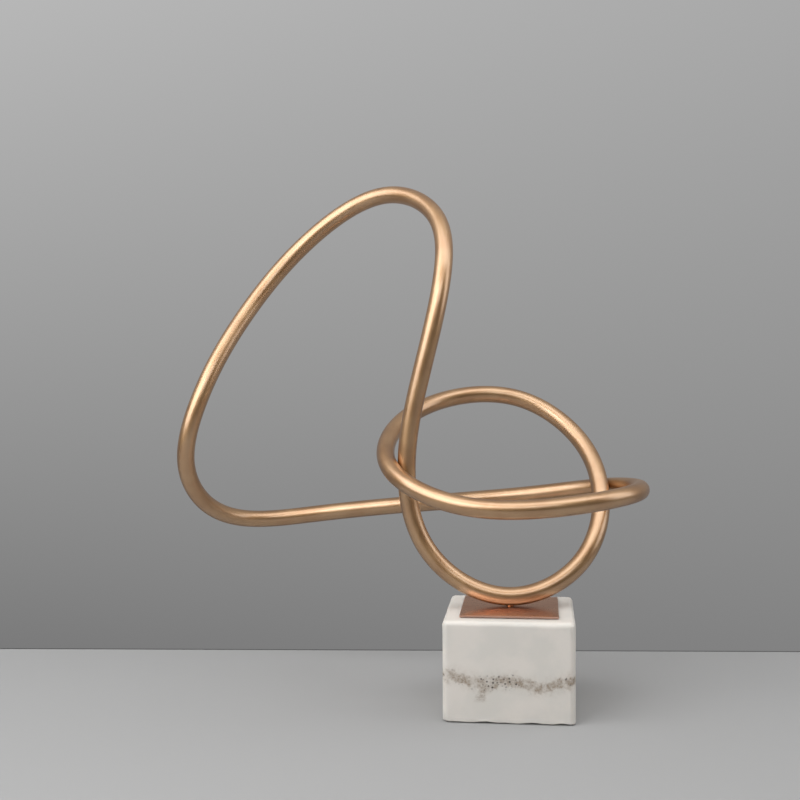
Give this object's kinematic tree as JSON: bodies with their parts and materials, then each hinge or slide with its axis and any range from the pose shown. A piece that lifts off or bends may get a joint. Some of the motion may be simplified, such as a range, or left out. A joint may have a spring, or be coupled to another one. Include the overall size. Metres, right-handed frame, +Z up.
{
  "type": "geometric sculpture",
  "caption": "Knot-like closed loop of bent, gold-painted round tube on a thin polished rose-coloured plate and a white marble block with a foam pad.",
  "frame": {"origin": "on the table, at the middle of the foam pad's underside, straight below the foot of the tube", "axes": "+Z up, -Y to the front that the picture shows, +X to the right, away from the big loop"},
  "size_m": [0.3, 0.1404, 0.3249],
  "materials": {
    "champagne_paint": "satin metallic champagne-gold paint on steel tube",
    "zinc_steel": "zinc-plated steel",
    "rose_plating": "polished rose-coloured plating",
    "white_marble": "honed light marble with grey veins",
    "black_foam": "matt black foam rubber"
  },
  "bodies": {
    "root": {"big_loop_tube": "champagne_paint", "lying_ring_tube": "champagne_paint", "standing_ring_tube": "champagne_paint", "back_joint_sleeve": "zinc_steel", "hidden_joint_sleeve": "zinc_steel", "foot_plug": "zinc_steel", "foot_plate": "rose_plating", "marble_block": "white_marble", "base_pad": "black_foam", "flat_washer": "zinc_steel", "spring_washer": "zinc_steel", "fixing_bolt": "zinc_steel"}
  },
  "joints": []
}
